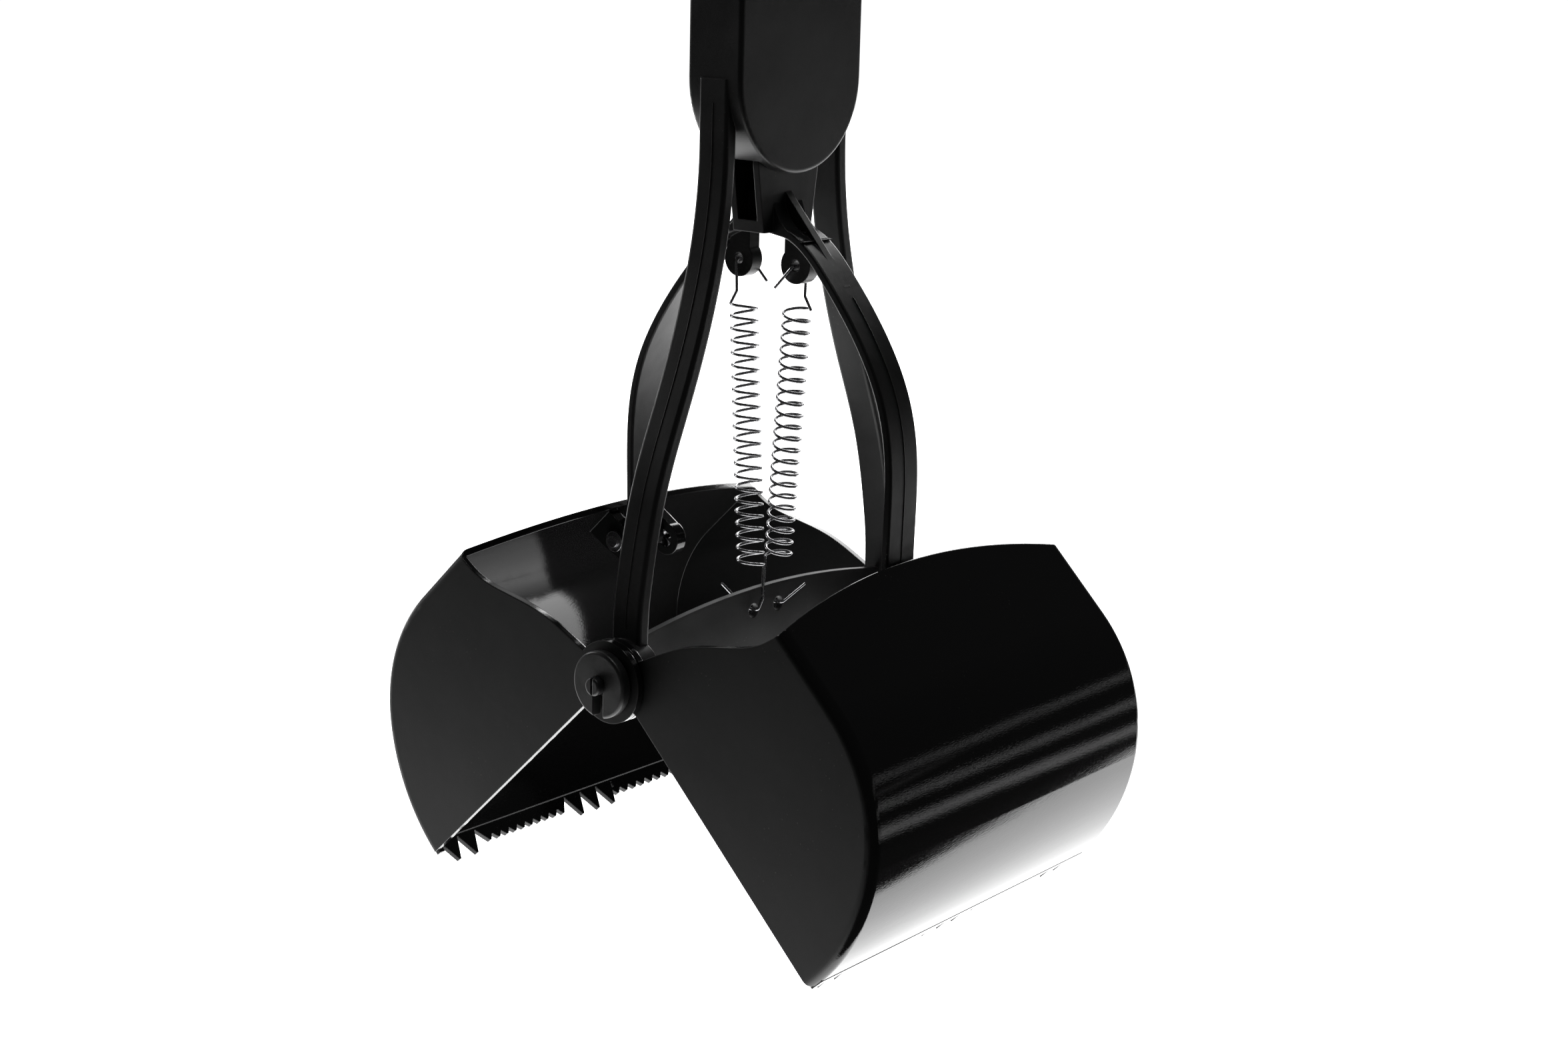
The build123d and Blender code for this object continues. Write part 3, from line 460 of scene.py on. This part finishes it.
dusty = node(
    t, "ShaderNodeMix", {"data_type": "RGBA"}, i0=lint.outputs[0], i6=tone.outputs["Result"],
    i7=(0.14, 0.14, 0.135, 1)
)
t.links.new(dusty.outputs["Result"], shader.inputs["Base Color"])
t.links.new(scuffed.outputs["Result"], shader.inputs["Roughness"])
t.links.new(grain.outputs["Normal"], shader.inputs["Normal"])
wear(slider_look, "slider")

slider_skin = surface_of("slider")
arm_seams = []
for way in (1, -1):
    line = []
    for i in range(26):
        z = hinge_z + 0.034 + i * 0.0034
        hit = slider_skin.ray_cast(Vector((way * 0.2, 0, z)), Vector((-way, 0, 0)))[0]
        line.append(Vector((hit.x + way * 0.00006, 0, z)))
    arm_seams.append(line)
values = {"Bead Radius": 0.0002, "Look": slider_look}
seam = grown("arm_seam", poly_curve("arm_seam_path", arm_seams), bead_tree, values, "slider")

# ---- Springs ------------------------------------------------------------------------------
# Two stretched extension springs of bright drawn wire. One rule winds the coil and joins the
# two hooks, which follow the CAD's spring between the slider's tab and the cross plate.

wire_look = bpy.data.materials.new("spring_wire")
wire_look.use_nodes = True
t = wire_look.node_tree
shader = t.nodes["Principled BSDF"]
place = node(t, "ShaderNodeTexCoord")
drawn = node(t, "ShaderNodeTexNoise", Vector=place.outputs["Object"], Scale=1500.0, Detail=3.0)
shade = node(t, "ShaderNodeMapRange", i0=drawn.outputs[0], i1=0.3, i2=0.7, i3=0.16, i4=0.30)
tint = node(
    t, "ShaderNodeMix", {"data_type": "RGBA"}, i0=drawn.outputs[0], i6=(0.30, 0.30, 0.31, 1),
    i7=(0.46, 0.46, 0.47, 1)
)
pits = node(t, "ShaderNodeBump", Strength=0.2, Distance=0.00004, Height=drawn.outputs[0])
t.links.new(tint.outputs["Result"], shader.inputs["Base Color"])
t.links.new(shade.outputs[0], shader.inputs["Roughness"])
t.links.new(pits.outputs[0], shader.inputs["Normal"])
shader.inputs["Metallic"].default_value = 1.0

spring_tree = bpy.data.node_groups.new("wound_spring", "GeometryNodeTree")
spring_sockets = (
    ("Geometry", "Geometry"), ("Turns", "Float"), ("Coil Radius", "Float"), ("Length", "Float"),
    ("Wire Radius", "Float"), ("Start Angle", "Float"), ("Foot", "Vector"), ("Lean", "Vector"),
    ("Look", "Material"),
)
for label, kind in spring_sockets:
    spring_tree.interface.new_socket(label, in_out="INPUT", socket_type="NodeSocket" + kind)
spring_tree.interface.new_socket("Geometry", in_out="OUTPUT", socket_type="NodeSocketGeometry")
gi = spring_tree.nodes.new("NodeGroupInput").outputs
go = spring_tree.nodes.new("NodeGroupOutput").inputs
coil = node(
    spring_tree, "GeometryNodeCurveSpiral", Resolution=40, Rotations=gi["Turns"],
    Start_Radius=gi["Coil Radius"], End_Radius=gi["Coil Radius"], Height=gi["Length"]
)
spin = node(spring_tree, "ShaderNodeCombineXYZ", Z=gi["Start Angle"])
phased = node(spring_tree, "GeometryNodeTransform", Geometry=coil.outputs[0], Rotation=spin.outputs[0])
placed = node(
    spring_tree, "GeometryNodeTransform", Geometry=phased.outputs[0], Rotation=gi["Lean"],
    Translation=gi["Foot"]
)
bends = node(
    spring_tree, "GeometryNodeFilletCurve", {"mode": "POLY"}, Curve=gi["Geometry"], Count=8,
    Radius=0.0011, Limit_Radius=True
)
joined = node(spring_tree, "GeometryNodeJoinGeometry")
spring_tree.links.new(bends.outputs[0], joined.inputs[0])
spring_tree.links.new(placed.outputs[0], joined.inputs[0])
ring = node(spring_tree, "GeometryNodeCurvePrimitiveCircle", Resolution=12, Radius=gi["Wire Radius"])
tube = node(
    spring_tree, "GeometryNodeCurveToMesh", Curve=joined.outputs[0], Profile_Curve=ring.outputs[0],
    Fill_Caps=True
)
smooth = node(spring_tree, "GeometryNodeSetShadeSmooth", Geometry=tube.outputs[0])
real = node(spring_tree, "GeometryNodeRealizeInstances", Geometry=smooth.outputs[0])
looked = node(spring_tree, "GeometryNodeSetMaterial", Geometry=real.outputs[0], Material=gi["Look"])
spring_tree.links.new(looked.outputs[0], go["Geometry"])

mm = 0.001
spring_low, spring_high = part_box("spring_left")
coil_top = spring_high.z - 15.2 * mm
coil_foot = spring_low.z + 15.9 * mm
hole_z = hinge_z + 127.0 * mm
eye_z = hinge_z + 9.7 * mm
coil_radius = 4.4 * mm
start_angle = math.radians(35)
start_way = Vector((math.cos(start_angle), math.sin(start_angle), 0))


def coil_frame(axis, way):
    """How the coil leans to follow its axis, and the angle at which it then starts."""
    lean = Vector((0, 0, 1)).rotation_difference(axis)
    start = lean.inverted() @ way
    return lean, math.atan2(start.y, start.x)


# The left spring, in millimetres from the hinge axis except for heights; the right is its half-turn.
head = Vector((-9.85 * mm, -1.9 * mm, coil_top))
foot = Vector((-0.4 * mm, -6.7 * mm, coil_foot))
lean, phase = coil_frame(head - foot, start_way)
spoke = lean @ (Vector((math.cos(phase), math.sin(phase), 0)) * coil_radius)
first, last = foot + spoke, head - spoke
upper = [
    last, Vector((-11.65 * mm, -3.5 * mm, coil_top + 4 * mm)),
    Vector((-12.05 * mm, -3.5 * mm, hole_z + 0.2 * mm))
]
upper += [
    Vector((-11.75 * mm, 3.5 * mm, hole_z - 0.3 * mm)),
    Vector((-5.55 * mm, 4.7 * mm, hole_z - 7.6 * mm))
]
lower = [first, Vector((first.x - 0.2 * mm, first.y + 0.2 * mm, coil_foot - 3 * mm))]
lower += [
    Vector((2.95 * mm, -3.9 * mm, eye_z + 4.2 * mm)), Vector((2.55 * mm, -5.9 * mm, eye_z + 0.3 * mm))
]
lower += [Vector((-2.55 * mm, -6.9 * mm, eye_z + 0.6 * mm))]

springs = (("spring_left", "wound_left", 0, 10.5), ("spring_right", "wound_right", math.pi, 5.5))
for name, wound_name, turned_by, tail in springs:
    about = Matrix.Rotation(turned_by, 3, "Z")
    tail_end = Vector((-4.05 * mm, -17.0 * mm, eye_z + tail * mm))
    runs = [[about @ p for p in upper], [about @ p for p in lower + [tail_end]]]
    axis = about @ (head - foot)
    lean, phase = coil_frame(axis, about @ start_way)
    values = {"Turns": 21.5, "Coil Radius": coil_radius, "Length": axis.length, "Wire Radius": 0.5 * mm}
    values |= {
        "Start Angle": phase, "Foot": about @ foot, "Lean": Vector(lean.to_euler()), "Look": wire_look
    }
    wound = grown(wound_name, poly_curve(wound_name + "_path", runs), spring_tree, values)
    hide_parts(name)
    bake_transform(wound)

# ---- Hinge caps, axles and steel pins -----------------------------------------------------
# Small turned and moulded pieces: the retaining discs and axles are satin black, a little
# greyer than the jaws from handling; the pins, rod and clips are bright steel.

cap_look = bpy.data.materials.new("cap_black")
cap_look.use_nodes = True
t = cap_look.node_tree
shader = t.nodes["Principled BSDF"]
place = node(t, "ShaderNodeTexCoord")
soft = use(t, edge_tree, Radius=0.0004)
grain = use(
    t, grain_tree, Vector=place.outputs["Object"], Fine=4200.0, Broad=160.0, Depth=0.2, Ripple=0.02,
    Normal=soft.outputs["Normal"]
)
lint = use(t, dust_tree, Vector=place.outputs["Object"], Scale=900.0, Amount=0.8)
satin = node(t, "ShaderNodeMapRange", i0=grain.outputs["Gloss"], i1=0.3, i2=0.7, i3=0.34, i4=0.48)
tone = node(
    t, "ShaderNodeMix", {"data_type": "RGBA"}, i0=soft.outputs["Edge"], i6=(0.011, 0.011, 0.0112, 1),
    i7=(0.035, 0.035, 0.035, 1)
)
dusty = node(
    t, "ShaderNodeMix", {"data_type": "RGBA"}, i0=lint.outputs[0], i6=tone.outputs["Result"],
    i7=(0.12, 0.12, 0.115, 1)
)
t.links.new(dusty.outputs["Result"], shader.inputs["Base Color"])
t.links.new(satin.outputs[0], shader.inputs["Roughness"])
t.links.new(grain.outputs["Normal"], shader.inputs["Normal"])
wear(cap_look, "retainer_front", "retainer_back", "axle_front", "axle_back")

steel_look = bpy.data.materials.new("bright_steel")
steel_look.use_nodes = True
t = steel_look.node_tree
shader = t.nodes["Principled BSDF"]
place = node(t, "ShaderNodeTexCoord")
soft = use(t, edge_tree, Radius=0.0002)
stretched = node(t, "ShaderNodeMapping", i3=(1.0, 30.0, 1.0), Vector=place.outputs["Object"])
turned = node(t, "ShaderNodeTexNoise", Vector=stretched.outputs[0], Scale=300.0, Detail=4.0)
shade = node(t, "ShaderNodeMapRange", i0=turned.outputs[0], i1=0.3, i2=0.7, i3=0.2, i4=0.38)
lines = node(
    t, "ShaderNodeBump", Strength=0.12, Distance=0.00005, Height=turned.outputs[0],
    Normal=soft.outputs["Normal"]
)
tint = node(
    t, "ShaderNodeMix", {"data_type": "RGBA"}, i0=soft.outputs["Edge"], i6=(0.42, 0.42, 0.43, 1),
    i7=(0.62, 0.62, 0.62, 1)
)
t.links.new(tint.outputs["Result"], shader.inputs["Base Color"])
t.links.new(shade.outputs[0], shader.inputs["Roughness"])
t.links.new(lines.outputs[0], shader.inputs["Normal"])
shader.inputs["Metallic"].default_value = 1.0
wear(steel_look, "link_pin_left", "link_pin_right", "link_clip_left", "link_clip_right", "pull_rod",
     "rod_pin_lower", "rod_pin_upper")

# ---- Screws -------------------------------------------------------------------------------
# Zinc-plated screws, faintly blue with a mottled plating.

zinc_look = bpy.data.materials.new("zinc")
zinc_look.use_nodes = True
t = zinc_look.node_tree
shader = t.nodes["Principled BSDF"]
place = node(t, "ShaderNodeTexCoord")
soft = use(t, edge_tree, Radius=0.0002)
mottle = node(t, "ShaderNodeTexVoronoi", Vector=place.outputs["Object"], Scale=900.0)
tint = node(
    t, "ShaderNodeMix", {"data_type": "RGBA"}, i0=mottle.outputs["Distance"], i6=(0.50, 0.52, 0.56, 1),
    i7=(0.36, 0.37, 0.40, 1)
)
shade = node(t, "ShaderNodeMapRange", i0=mottle.outputs["Distance"], i1=0.0, i2=0.8, i3=0.22, i4=0.42)
t.links.new(tint.outputs["Result"], shader.inputs["Base Color"])
t.links.new(shade.outputs[0], shader.inputs["Roughness"])
t.links.new(soft.outputs["Normal"], shader.inputs["Normal"])
shader.inputs["Metallic"].default_value = 1.0
wear(zinc_look, "handle_screws", "neck_screws")

# ---- Handle shells and trigger ------------------------------------------------------------
# The two shells have a fine spark-eroded texture; the trigger is smoother where fingers polish
# it. Both are the CAD's own shapes.

shell_look = bpy.data.materials.new("shell_black")
shell_look.use_nodes = True
t = shell_look.node_tree
shader = t.nodes["Principled BSDF"]
place = node(t, "ShaderNodeTexCoord")
soft = use(t, edge_tree, Radius=0.0006)
grain = use(
    t, grain_tree, Vector=place.outputs["Object"], Fine=1700.0, Broad=45.0, Depth=0.45, Ripple=0.02,
    Normal=soft.outputs["Normal"]
)
upright = node(t, "ShaderNodeMapping", i3=(1.0, 1.0, 0.14), Vector=place.outputs["Object"])
hair = use(t, scratch_tree, Vector=upright.outputs[0], Amount=0.5)
lint = use(t, dust_tree, Vector=place.outputs["Object"], Scale=480.0, Amount=0.5)
satin = node(t, "ShaderNodeMapRange", i0=grain.outputs["Gloss"], i1=0.3, i2=0.7, i3=0.48, i4=0.6)
scuffed = node(t, "ShaderNodeMix", Factor=hair.outputs[0], A=satin.outputs[0], B=0.35)
tone = node(
    t, "ShaderNodeMix", {"data_type": "RGBA"}, i0=soft.outputs["Edge"], i6=(0.011, 0.011, 0.0113, 1),
    i7=(0.026, 0.026, 0.026, 1)
)
dusty = node(
    t, "ShaderNodeMix", {"data_type": "RGBA"}, i0=lint.outputs[0], i6=tone.outputs["Result"],
    i7=(0.1, 0.1, 0.095, 1)
)
t.links.new(dusty.outputs["Result"], shader.inputs["Base Color"])
t.links.new(scuffed.outputs["Result"], shader.inputs["Roughness"])
t.links.new(grain.outputs["Normal"], shader.inputs["Normal"])
wear(shell_look, "handle_shell_left", "handle_shell_right")

trigger_look = bpy.data.materials.new("trigger_black")
trigger_look.use_nodes = True
t = trigger_look.node_tree
shader = t.nodes["Principled BSDF"]
place = node(t, "ShaderNodeTexCoord")
soft = use(t, edge_tree, Radius=0.0007)
grain = use(
    t, grain_tree, Vector=place.outputs["Object"], Fine=2200.0, Broad=28.0, Depth=0.2, Ripple=0.03,
    Normal=soft.outputs["Normal"]
)
worn = node(t, "ShaderNodeTexNoise", Vector=place.outputs["Object"], Scale=18.0, Detail=4.0)
lint = use(t, dust_tree, Vector=place.outputs["Object"], Scale=600.0, Amount=0.4)
satin = node(t, "ShaderNodeMapRange", i0=worn.outputs[0], i1=0.35, i2=0.7, i3=0.44, i4=0.26)
tone = node(
    t, "ShaderNodeMix", {"data_type": "RGBA"}, i0=soft.outputs["Edge"], i6=(0.012, 0.012, 0.0122, 1),
    i7=(0.03, 0.03, 0.03, 1)
)
dusty = node(
    t, "ShaderNodeMix", {"data_type": "RGBA"}, i0=lint.outputs[0], i6=tone.outputs["Result"],
    i7=(0.1, 0.1, 0.095, 1)
)
t.links.new(dusty.outputs["Result"], shader.inputs["Base Color"])
t.links.new(satin.outputs[0], shader.inputs["Roughness"])
t.links.new(grain.outputs["Normal"], shader.inputs["Normal"])
wear(trigger_look, "trigger")

# ---- Grip sleeve --------------------------------------------------------------------------
# A soft dark rubber sleeve round the palm bar, with rows of low raised ribs across its two
# broad faces, clear of the hang hole.

rubber_look = bpy.data.materials.new("soft_rubber")
rubber_look.use_nodes = True
t = rubber_look.node_tree
shader = t.nodes["Principled BSDF"]
place = node(t, "ShaderNodeTexCoord")
soft = use(t, edge_tree, Radius=0.0005)
grain = use(
    t, grain_tree, Vector=place.outputs["Object"], Fine=5200.0, Broad=90.0, Depth=0.5, Ripple=0.02,
    Normal=soft.outputs["Normal"]
)
bloom = node(t, "ShaderNodeTexNoise", Vector=place.outputs["Object"], Scale=60.0, Detail=5.0)
lint = use(t, dust_tree, Vector=place.outputs["Object"], Scale=380.0, Amount=0.9)
matt = node(t, "ShaderNodeMapRange", i0=bloom.outputs[0], i1=0.3, i2=0.7, i3=0.68, i4=0.82)
tone = node(
    t, "ShaderNodeMix", {"data_type": "RGBA"}, i0=bloom.outputs[0], i6=(0.009, 0.009, 0.0095, 1),
    i7=(0.018, 0.018, 0.0185, 1)
)
dusty = node(
    t, "ShaderNodeMix", {"data_type": "RGBA"}, i0=lint.outputs[0], i6=tone.outputs["Result"],
    i7=(0.1, 0.1, 0.095, 1)
)
t.links.new(dusty.outputs["Result"], shader.inputs["Base Color"])
t.links.new(matt.outputs[0], shader.inputs["Roughness"])
t.links.new(grain.outputs["Normal"], shader.inputs["Normal"])
shader.inputs["Specular IOR Level"].default_value = 0.3
wear(rubber_look, "grip_sleeve")

rib_tree = bpy.data.node_groups.new("grip_ribs", "GeometryNodeTree")
rib_sockets = (
    ("Geometry", "Geometry"), ("Rib Length", "Float"), ("Rib Radius", "Float"), ("Step", "Float"),
    ("Look", "Material"),
)
for label, kind in rib_sockets:
    rib_tree.interface.new_socket(label, in_out="INPUT", socket_type="NodeSocket" + kind)
rib_tree.interface.new_socket("Geometry", in_out="OUTPUT", socket_type="NodeSocketGeometry")
gi = rib_tree.nodes.new("NodeGroupInput").outputs
go = rib_tree.nodes.new("NodeGroupOutput").inputs
halved = node(rib_tree, "ShaderNodeMath", {"operation": "MULTIPLY"}, i0=gi["Rib Length"], i1=0.5)
lowered = node(rib_tree, "ShaderNodeMath", {"operation": "MULTIPLY"}, i0=gi["Rib Length"], i1=-0.5)
top_end = node(rib_tree, "ShaderNodeCombineXYZ", Z=halved.outputs[0])
low_end = node(rib_tree, "ShaderNodeCombineXYZ", Z=lowered.outputs[0])
spine = node(
    rib_tree, "GeometryNodeCurvePrimitiveLine", Start=low_end.outputs[0], End=top_end.outputs[0]
)
cuts = node(rib_tree, "GeometryNodeResampleCurve", {"mode": "COUNT"}, Curve=spine.outputs[0], Count=17)
where = node(rib_tree, "GeometryNodeSplineParameter")
shift = node(
    rib_tree, "ShaderNodeMapRange", i0=where.outputs["Factor"], i1=0.0, i2=1.0, i3=-1.0, i4=1.0
)
square = node(rib_tree, "ShaderNodeMath", {"operation": "POWER"}, i0=shift.outputs[0], i1=4.0)
taper = node(rib_tree, "ShaderNodeMapRange", i0=square.outputs[0], i1=0.0, i2=1.0, i3=1.0, i4=0.25)
ring = node(rib_tree, "GeometryNodeCurvePrimitiveCircle", Resolution=14, Radius=gi["Rib Radius"])
bar = node(
    rib_tree, "GeometryNodeCurveToMesh", Curve=cuts.outputs[0], Profile_Curve=ring.outputs[0],
    Scale=taper.outputs[0], Fill_Caps=True
)
stations = node(
    rib_tree, "GeometryNodeResampleCurve", {"mode": "LENGTH"}, Curve=gi["Geometry"], Length=gi["Step"]
)
repeated = node(
    rib_tree, "GeometryNodeInstanceOnPoints", Points=stations.outputs[0], Instance=bar.outputs[0]
)
real = node(rib_tree, "GeometryNodeRealizeInstances", Geometry=repeated.outputs[0])
smooth = node(rib_tree, "GeometryNodeSetShadeSmooth", Geometry=real.outputs[0])
looked = node(rib_tree, "GeometryNodeSetMaterial", Geometry=smooth.outputs[0], Material=gi["Look"])
rib_tree.links.new(looked.outputs[0], go["Geometry"])

sleeve_low, sleeve_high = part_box("grip_sleeve")
middle_z = (sleeve_low.z + sleeve_high.z) / 2
rows = []
for x in (sleeve_low.x + 0.0002, sleeve_high.x - 0.0002):
    for y0, y1 in ((sleeve_low.y + 0.0035, -0.0105), (0.0105, sleeve_high.y - 0.0035)):
        rows.append([(x, y0, middle_z), (x, y1, middle_z)])
ribs = grown("grip_ribs", poly_curve("grip_rib_rows", rows), rib_tree,
             {"Rib Length": 0.0155, "Rib Radius": 0.0008, "Step": 0.0032, "Look": rubber_look}, "handle")
